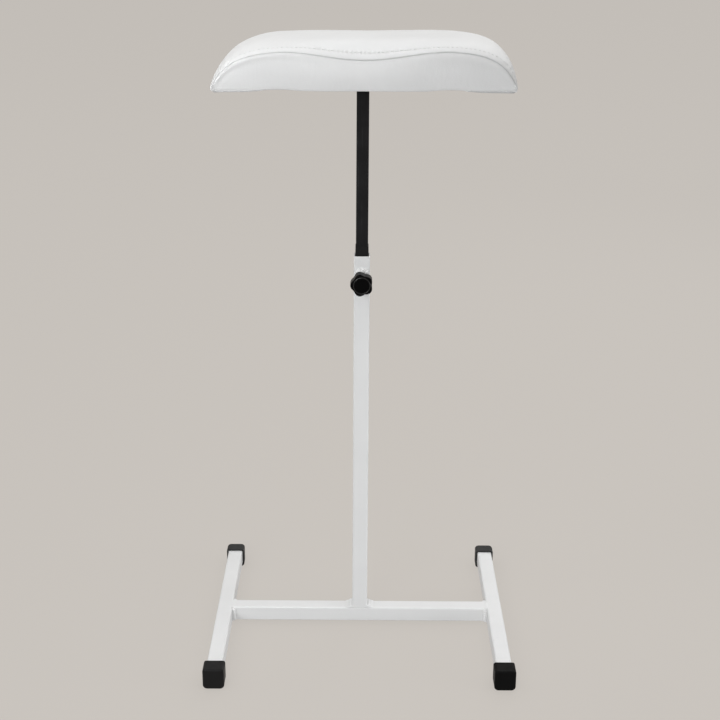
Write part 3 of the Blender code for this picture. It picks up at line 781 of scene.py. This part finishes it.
def build_top_panel():
    """Top panel with its seams and its fold under both ends of the board. Returns it with its two halves."""
    halves, sheets = [], []
    for end, seed in ((FRONT, 11), (REAR, 47)):
        points, rows, measure = half_panel(SHARES, SEAM_ROWS, FIELD_ROWS, end)
        normals = panel_normals(points, end)
        off, painted_shade = panel_relief(rows, ALONG, seed)
        off += 0.14 * ripples(points[..., 0], points[..., 1], 5, 10, 30.0, 90.0) * ramp(rows, 25.0)
        off += stands_off("top", end, measure)
        points = points + normals * off[..., None]
        halves.append((points, normals))
        # The seam edge carries on into the cushion, so that nothing shows through the groove.
        tucked = points[:, :1] + np.array([0.0, -TUCK_IN * end, TUCK_APART])
        columns = (tucked, points), (rows[:, :1] - 1.0, rows), (painted_shade[:, :1], painted_shade)
        sheets.append([np.concatenate(pair, axis=1) for pair in columns])
    main, distance, painted_shade = (both_halves(front, rear) for front, rear in zip(*sheets))
    left = end_fold(main[0], distance[0], LEFT)[::-1]
    right = end_fold(main[-1], distance[-1], RIGHT)
    # Painted shade on the end folds under the board.
    under = [np.repeat(0.4 * edge, len(left), 0) for edge in (painted_shade[:1], painted_shade[-1:])]
    painted_shade = np.concatenate([under[0], painted_shade, under[1]])
    return cover_panel("cushion_top_panel", np.stack([*left, *main, *right]), painted_shade), halves


def bottom_edge(x, seed):
    """Height of the lower edge of a front or rear panel: lowest over the end hems, drawn up beside them."""
    from_hem = np.abs(x) - 94.0
    drawn_up = 1.5 * np.where(from_hem < 0.0, hump(from_hem, 17.0), 1.0)
    wave = 0.25 * ripples(x, 0 * x, seed, 4, 50.0, 120.0)
    return HEM_LEVEL + within(x, HEMS_MEET, 1.6) * (drawn_up + np.abs(wave))


def boxing_relief(x, z, down, share, shrink, seed):
    """How far a front or rear panel stands off its plain bulge, by its sewing and its filling."""
    here = x + 0 * z
    # The edge rolls over less where the seam dips and where the panel is low.
    full = (1.0 - 0.85 * hump(x, 75.0)) * shrink
    reach = (LEAST_ROLL + (EDGE_ROLL - LEAST_ROLL) * full) * np.maximum(shrink, 0.1)
    depth = (1.5 + 1.4 * full) * np.minimum(1.0, 0.35 + shrink)
    # The seam allowance inside lifts a band below the seam, broader on the right.
    broad = 3.0 + 1.6 * np.clip(x / 120.0 + 0.3, 0.0, 1.0)
    band = hump(down - 1.25 * broad, broad) - 0.5 * hump(down - 3.5 * broad, 1.5 * broad)
    uneven = 0.16 * ripples(here, z, seed + 3, 8, 30.0, 90.0) * np.sin(np.pi * share)
    gathers = 0.09 * ripples(here, z * 2.5, seed + 5, 7, 8.0, 22.0) * np.exp(-down / 6.0)
    return uneven - roll_in(down, reach, depth) + EDGE_LIFT * full * band + gathers


def build_boxing_panel(name, end, seed):
    """Front or rear panel: rolled edge at the seam, a slight bulge, and the fold and hem under the board."""
    seam = seam_points(SHARES)
    keep = seam[:, 2] > BOXING_LEAST_RISE
    x, top = seam[keep, :1], seam[keep, 2:]
    across = x / SEAM_HALF_WIDTH
    low = bottom_edge(x, seed)
    shrink = np.clip(0.5 * (top - FOLD - low) / BOXING_ROWS[-1], 0.04, 1.0)
    fold = np.minimum(FOLD, 0.3 * top)
    hem = HEM_AT_ENDS + (FRONT_HEM - HEM_AT_ENDS) * within(x, HEMS_MEET + 1.0, 1.5)
    near = BOXING_ROWS * shrink
    rest = np.linspace(0, 1, BOXING_FIELD + 1)[1:]
    down = np.hstack([near, near[:, -1:] + rest * (top - low - fold - near[:, -1:])])
    z = top - down
    share = np.clip((z - low) / (top - low), 0, 1)
    measure = np.linspace(0, 1, 40)
    settled = zip(share, stands_off("boxing", end, measure)[keep])
    out = boxing_bulge(across, share) + boxing_relief(x, z, down, share, shrink, seed)
    out += np.stack([np.interp(1 - wanted, measure, values) for wanted, values in settled])
    y = end * (HALF_DEPTH + out)
    rows = [(x, y[:, :1] - end * TUCK_IN, z[:, :1] - TUCK_APART), (x + 0 * z, y, z)]
    for turn in np.radians([22.5, 45, 67.5, 90]):
        rows.append((x, y[:, -1:] - end * fold * (1 - math.cos(turn)), low + fold * (1 - math.sin(turn))))
    _, folded_y, folded_z = rows[-1]
    for step in np.linspace(0, 1, 8)[1:]:
        lift = 0.30 * math.sin(math.pi * step) * np.sin(x / 8.7 + seed)
        settle = (1 - step) ** 3
        height = folded_z * settle + np.minimum(lift * step, 0.4) * (1 - settle)
        rows.append((x, folded_y - end * step * hem, height))
    points = np.concatenate([np.stack(row, -1) for row in rows], axis=1)
    # Painted shade in the seam: darker to the right, away from the light, and at its low ends.
    low_end = fall(top, 22.0)
    depth = np.clip(0.34 + 0.42 * np.clip(0.5 + 0.5 * across, 0, 1) + 0.45 * low_end, 0, 1)
    painted_shade = np.zeros(points.shape[:2])
    painted_shade[:, :1] = depth
    painted_shade[:, 1:len(BOXING_ROWS) + 1] = depth * np.exp(-BOXING_ROWS / (0.9 + 0.8 * low_end))
    return cover_panel(name, points, painted_shade, flip=end == FRONT)


def build_stitches(name, half, seed):
    """Thread that lies on the top panel from needle hole to needle hole."""
    points, normals = half
    row = SEAM_ROWS.index(STITCH_FROM_SEAM)
    rng = np.random.default_rng(seed)
    steps = np.linspace(-1, 1, 9)
    radius = THREAD * (1 - 0.35 * np.abs(steps) ** 4)
    made = []
    for middle in np.arange(1.5 * STITCH_PITCH, SEAM_LENGTH - STITCH_PITCH, STITCH_PITCH):
        places = middle + steps * STITCH_LENGTH * rng.uniform(0.94, 1.04) / 2
        base = at_lengths(places, ALONG, points[:, row])
        rise = unit(at_lengths(places, ALONG, normals[:, row]))
        aside = np.cross(rise, unit(np.gradient(base, axis=0)))
        proud = 0.06 + 0.24 * hump(middle - SEAM_LENGTH / 2, 60.0)
        lift = proud - 0.62 * np.abs(steps) ** 3.5
        skew = 0.16 * steps * rng.uniform(0.4, 1.3)
        path = base + rise * lift[:, None] + aside * skew[:, None]
        made.append(tube_along(path, radius, 7, rise[4]))
    points, faces = joined(made)
    return mesh_object(name, seat(points), faces, THREAD_LOOK)


PLEAT_FROM_MIDDLE = 169.6
PLEAT_DEEP = 84.2
PLEAT_FOOT = 0.7
PLEAT_RISE = 9.0
PLEAT_RADIUS = 1.45
PLEAT_TIP = 0.12
PLEAT_SIDES = 12


def build_pleats():
    """The small fold at each lower corner, where the end of the top panel is gathered in under the front or
    rear panel."""
    share = np.linspace(0, 1, 15)
    height = PLEAT_FOOT + PLEAT_RISE * share
    out = PLEAT_FROM_MIDDLE - 1.5 * share ** 2 + corner_flare(height)
    deep = PLEAT_DEEP + 0.5 * np.sin(np.pi * share)
    radius = PLEAT_RADIUS * (1 - share) ** 0.6 * np.minimum(1, 0.30 + 3 * share) + PLEAT_TIP
    made = []
    for side in (LEFT, RIGHT):
        for end in (FRONT, REAR):
            path = np.stack([side * out, end * deep, height], -1)
            made.append(tube_along(path, radius, PLEAT_SIDES, (0, end, 0)))
    points, faces = joined(made)
    pleats = mesh_object("corner_pleats", seat(points), faces, SKIN)
    # Painted shade along each fold, darker towards its top.
    set_painted_shade(pleats, np.tile(np.repeat(0.10 + 0.25 * share, PLEAT_SIDES), len(made)))
    return pleats


STAPLE_WIRE = 0.36
STAPLE_SHAPE = [(-5.0, 1.6), (-5.0, 0.0), (-4.6, -0.42), (0.0, -0.42), (4.6, -0.42), (5.0, 0.0), (5.0, 1.6)]
LONG_ROW = np.linspace(-118, 118, 9)
LONG_ROW_DEEP = HALF_DEPTH - 15
SHORT_ROW = np.linspace(-62, 62, 5)
SHORT_ROW_FROM_MIDDLE = 150


def build_staples():
    """Steel staples that hold the hems to the board, each a little off its place and askew."""
    places = []
    for end in (FRONT, REAR):
        for x in LONG_ROW:
            slip = 2.5 * math.sin(x * 1.7 + end)
            places.append((x + slip, end * LONG_ROW_DEEP, math.radians(7 * math.sin(x))))
    for side in (LEFT, RIGHT):
        for y in SHORT_ROW:
            slip = 2 * math.sin(y + side)
            places.append((side * SHORT_ROW_FROM_MIDDLE, y + slip, math.radians(90 + 6 * math.sin(y * 1.3))))
    made = []
    for x, y, turn in places:
        along = np.array([math.cos(turn), math.sin(turn), 0.0])
        path = [np.array([x, y, height]) + along * reach for reach, height in STAPLE_SHAPE]
        made.append(tube_along(path, STAPLE_WIRE, 6, np.cross(along, (0, 0, 1.0))))
    points, faces = joined(made)
    return mesh_object("hem_staples", seat(points), faces, ZINC)


top_panel, top_halves = build_top_panel()
front_panel = build_boxing_panel("cushion_front_panel", FRONT, 21)
rear_panel = build_boxing_panel("cushion_rear_panel", REAR, 33)
front_thread = build_stitches("topstitch_front", top_halves[0], 3)
rear_thread = build_stitches("topstitch_rear", top_halves[1], 4)
pleats = build_pleats()
staples = build_staples()
for piece in (top_panel, front_panel, rear_panel, front_thread, rear_thread, pleats, staples):
    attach(piece, "column")
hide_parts("foam_core", "cover_top_panel")
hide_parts("cover_front_panel")
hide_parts("cover_rear_panel")


# Welds, the screw thread, the plate screws and the ring of the knob. Sizes are in millimetres.

CORNER_BEAD = 3.1
TOP_BEAD = 2.9
TOP_BEAD_FLATNESS = 0.24
FOOT_BEAD = 2.2
NUT_BEAD = 2.5
NUT_BEAD_RING = 10.6
PLATE_BEAD = 1.9
PLATE_BEAD_RING = 8.9
PLATE_BEAD_SQUARE = 7
THREAD_RADIUS = 3.82
THREAD_RIDGE = 0.38
THREAD_PITCH = 1.25
THREAD_TURNS = 8.8
THREAD_START = -8.9
SCREW_GAP = 0.3
SCREW_SIDES = 64
HEAD_RADIUS = 4.0
HEAD_RIM = 0.75
HEAD_DOME = 1.65
SHANK_RADIUS = 2.0
SHANK_LENGTH = 10.2
RECESS_REACH = 2.35
RECESS_HALF = 0.62
RECESS_DEPTH = 1.25
KNOB_RING = 10.0
KNOB_RING_RADIUS = 0.75
KNOB_RING_PROUD = 0.15


def around_clamp(turn, radius, y):
    """Points around the axis of the clamp screw."""
    return np.stack([radius * np.cos(turn), y + 0 * turn, CLAMP_HEIGHT + radius * np.sin(turn)], -1)


def weld_bead(path, radius, pitch, seed, helper, lumps=0.12):
    """Points and faces of a weld bead along a path, rippled as the torch leaves it."""
    path = np.asarray(path, float)
    length = path_lengths(path)
    along = np.linspace(0, length[-1], int(length[-1] / 0.35) + 2)
    size = 1 - lumps + lumps * 2 * np.abs(np.sin(np.pi * along / pitch + seed))
    size = radius * (size + 0.05 * ripples(along, 0 * along, seed, 5, 4.0, 18.0))
    from_end = ramp(np.minimum(along, length[-1] - along), radius)
    size = size * np.sqrt(np.clip(1 - (1 - from_end) ** 2, 0.02, 1))
    return tube_along(at_lengths(along, length, path), size, 16, helper)


def flattened(bead, height, share):
    points, faces = bead
    points[:, 2] = height + (points[:, 2] - height) * share
    return points, faces


def build_base_welds():
    """Beads in the corners between bar and legs, beside the foot of the post, and above and below the nut."""
    top = BAR_TOP - 0.5
    made = []
    for side in (LEFT, RIGHT):
        for end in (FRONT, REAR):
            x, y = side * (LEG_INNER - 1.7), end * (TUBE_HALF + 1.7)
            corner = [(x, y, BAR_BOTTOM + 0.6), (x, y, top)]
            made.append(weld_bead(corner, CORNER_BEAD, 3.1, 5 + side + 2 * end, (0, 1, 0)))
        across = [(side * LEG_INNER, y, top) for y in (0.6 - TUBE_HALF, TUBE_HALF - 0.6)]
        bead = weld_bead(across, TOP_BEAD, 3.0, 2 + side, (0, 0, 1), 0.05)
        made.append(flattened(bead, top, TOP_BEAD_FLATNESS))
        foot = [(side * (TUBE_HALF + 2.3), y, BAR_TOP + 1.7) for y in (1.0 - TUBE_HALF, TUBE_HALF - 1.0)]
        made.append(weld_bead(foot, FOOT_BEAD, 2.8, 5 + side, (0, 0, 1)))
    for start, seed in ((42, 3), (222, 8)):
        turn = np.radians(np.linspace(start, start + 96, 40))
        arc = around_clamp(turn, NUT_BEAD_RING, -TUBE_HALF - 1.0)
        made.append(weld_bead(arc, NUT_BEAD, 4.9, seed, (0, 1, 0), 0.22))
    points, faces = joined(made)
    return mesh_object("base_weld_beads", points * MM, faces, WHITE)


def build_plate_weld():
    """Bead around the top of the sliding tube, under the plate, on a square with round corners."""
    turn = np.linspace(0, 2 * np.pi, 161)
    x, y = np.cos(turn), np.sin(turn)
    power = PLATE_BEAD_SQUARE
    reach = PLATE_BEAD_RING / (np.abs(x) ** power + np.abs(y) ** power) ** (1 / power)
    ring = np.stack([reach * x, reach * y, 0 * turn + PLATE_BOTTOM - PLATE_BEAD], -1)
    points, faces = weld_bead(ring, PLATE_BEAD, 3.2, 4, (0, 0, 1))
    return mesh_object("plate_weld_bead", points * MM, faces, BLACK)


def build_thread():
    """Ridge of the stud's thread. It turns with the knob."""
    turn = np.linspace(0, 2 * np.pi * THREAD_TURNS, 240)
    ridge = around_clamp(turn, THREAD_RADIUS, THREAD_START - THREAD_PITCH * turn / (2 * np.pi))
    points, faces = tube_along(ridge, THREAD_RIDGE, 6, (0, 1, 0))
    return mesh_object("stud_thread", points * MM, faces, ZINC)


def build_screw(name, x, y):
    """Pan-head screw with a cross recess, head down, its shank up through the plate into the board."""
    seat_height = PLATE_BOTTOM - SCREW_GAP
    turns = np.linspace(0, 2 * np.pi, SCREW_SIDES, endpoint=False)[:, None]
    head = np.concatenate([np.linspace(0.05, 1, 22) * 3.3, [3.55, 3.75, 3.9, 3.98, HEAD_RADIUS]])
    radii = np.concatenate([head, [HEAD_RADIUS, SHANK_RADIUS, SHANK_RADIUS]])
    across, deep = x + radii * np.cos(turns), y + radii * np.sin(turns)
    arm = head * np.minimum(np.abs(np.cos(turns)), np.abs(np.sin(turns)))
    recess = RECESS_DEPTH * ramp(RECESS_HALF - arm, 0.16) * ramp(RECESS_REACH - head, 0.3)
    dome = HEAD_RIM + HEAD_DOME * np.sqrt(1 - (head / HEAD_RADIUS) ** 2.4)
    shank = np.broadcast_to([0.0, 0.0, SHANK_LENGTH], (SCREW_SIDES, 3))
    height = seat_height + np.hstack([recess - dome, shank])
    points = np.stack([across, deep, height], -1)
    numbers = grid_numbers(*height.shape)
    faces = grid_faces(wrapped(numbers, 0)) + [numbers[::-1, 0].tolist(), numbers[:, -1].tolist()]
    return mesh_object(name, points.reshape(-1, 3) * MM, faces, ZINC)


def build_knob_ring():
    """Raised ring around the cap in the face of the knob."""
    turn = np.linspace(0, 2 * np.pi, 96, endpoint=False)
    ring = around_clamp(turn, KNOB_RING, KNOB_FACE + KNOB_RING_PROUD)
    points, faces = tube_along(ring, KNOB_RING_RADIUS, 12, (0, 1, 0), loop=True)
    return mesh_object("knob_ring", points * MM, faces, RING_LOOK)


base_welds = build_base_welds()
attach(base_welds, "base")
plate_weld = build_plate_weld()
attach(plate_weld, "column")
stud_thread = build_thread()
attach(stud_thread, "knob")
knob_ring = build_knob_ring()
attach(knob_ring, "knob")
for number in range(1, 5):
    low, high = box_in_mm(f"plate_screw_{number}")
    screw = build_screw(f"pan_head_screw_{number}", (low[0] + high[0]) / 2, (low[1] + high[1]) / 2)
    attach(screw, "column")
    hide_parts(f"plate_screw_{number}")


# Stage, light and camera, in metres.

FLOOR_RADIUS = 3.0
FLOOR_CURVE = 1.6
WALL_TOP = 4.2
STAGE_SIDES = 96
UNDER_CAPS = 0.0004
NEUTRAL = (0.985, 1.0, 1.015)
SKY = ((0.0, 0.85), (0.46, 0.165), (0.54, 0.165), (0.92, 0.955))  # height, from below to overhead, and grey
CAMERA_PLACE = (-0.0016, -1.608, 0.963)
CAMERA_TILT = math.radians(70.0)
CAMERA_ROLL = 0.0063
CAMERA_SENSOR = 36.0
CAMERA_LENS = 67.4


def build_stage():
    """A floor that curves up into a wall all round, a hair below the soles of the caps."""
    profile = [(0.6, 0.0), (1.5, 0.0), (FLOOR_RADIUS, 0.0)]  # radius and height
    for turn in np.radians(np.arange(6, 91, 6)):
        profile.append((FLOOR_RADIUS + FLOOR_CURVE * math.sin(turn), FLOOR_CURVE * (1 - math.cos(turn))))
    profile.append((FLOOR_RADIUS + FLOOR_CURVE, WALL_TOP))
    points = [(0.0, 0.0, -UNDER_CAPS)]
    for radius, height in profile:
        for turn in np.linspace(0, 2 * math.pi, STAGE_SIDES, endpoint=False):
            points.append((radius * math.cos(turn), radius * math.sin(turn), height - UNDER_CAPS))
    rings = wrapped(1 + grid_numbers(len(profile), STAGE_SIDES), 1)
    faces = [(0, int(a), int(b)) for a, b in zip(rings[0], rings[0, 1:])] + grid_faces(rings)
    look = Look("studio_floor", (0.12, 0.112, 0.103), 0.9, Specular_IOR_Level=0.0)
    look.set("Emission Color", (0.565, 0.533, 0.497, 1.0))
    look.set("Emission Strength", 0.845)
    floor = mesh_object("studio_floor", points, faces, look.material)
    floor.visible_diffuse = False


def area_light(name, place, aim, size, watts, spread=180.0):
    data = bpy.data.lights.new(name, "AREA")
    data.shape = "DISK"
    data.size = size
    data.energy = watts
    data.color = NEUTRAL
    data.spread = math.radians(spread)
    lamp = bpy.data.objects.new(name, data)
    lamp.location = place
    lamp.rotation_euler = (Vector(aim) - Vector(place)).to_track_quat("-Z", "Y").to_euler()
    lamp.visible_camera = False
    bpy.context.scene.collection.objects.link(lamp)


def build_sky():
    """Soft grey light from all round, brighter from above and, as off a pale floor, from below."""
    world = bpy.data.worlds.new("studio")
    world.use_nodes = True
    nodes, links = world.node_tree.nodes, world.node_tree.links
    split = nodes.new("ShaderNodeSeparateXYZ")
    links.new(nodes.new("ShaderNodeTexCoord").outputs["Generated"], split.inputs[0])
    height = nodes.new("ShaderNodeMapRange")
    height.inputs["From Min"].default_value = -1.0
    links.new(split.outputs["Z"], height.inputs["Value"])
    tones = nodes.new("ShaderNodeValToRGB")
    stops = tones.color_ramp.elements
    while len(stops) < len(SKY):
        stops.new(0.5)
    for stop, (place, grey) in zip(stops, SKY):
        stop.position = place
        stop.color = (grey, grey, grey, 1.0)
    links.new(height.outputs["Result"], tones.inputs["Fac"])
    links.new(tones.outputs["Color"], nodes["Background"].inputs["Color"])
    bpy.context.scene.world = world


def build_camera():
    """The photograph's view, from the front and above."""
    data = bpy.data.cameras.new("camera")
    data.sensor_width = CAMERA_SENSOR
    data.lens = CAMERA_LENS
    camera = bpy.data.objects.new("camera", data)
    tilt = Matrix.Rotation(CAMERA_TILT, 4, "X")
    roll = Matrix.Rotation(CAMERA_ROLL, 4, "Z")
    camera.matrix_world = Matrix.Translation(CAMERA_PLACE) @ tilt @ roll
    bpy.context.scene.collection.objects.link(camera)
    bpy.context.scene.camera = camera


build_stage()
area_light("key", (-0.70, -1.50, 1.05), aim=(-0.08, -0.085, 0.755), size=0.3, watts=0.074, spread=24.0)
area_light("side", (-0.62, -0.42, 0.86), aim=(0.0, -0.08, 0.75), size=0.35, watts=0.58)
area_light("low", (-0.6, -1.7, 0.80), aim=(0.0, 0.0, 0.10), size=1.0, watts=1.27, spread=50.0)
area_light("upper", (-0.9, -0.35, 1.6), aim=(-0.08, 0.0, 0.78), size=0.3, watts=0.098, spread=30.0)
area_light("fill", (1.3, -0.35, 0.3), aim=(0.0, 0.0, 0.22), size=0.5, watts=0.42, spread=45.0)
area_light("rear", (0.10, 1.5, 1.75), aim=(0.0, 0.0, 0.78), size=0.6, watts=0.05, spread=40.0)
area_light("back", (0.9, 1.7, 1.5), aim=(0.0, 0.0, 0.45), size=1.2, watts=5.0)
build_sky()
build_camera()
bpy.context.scene.view_settings.view_transform = "Standard"
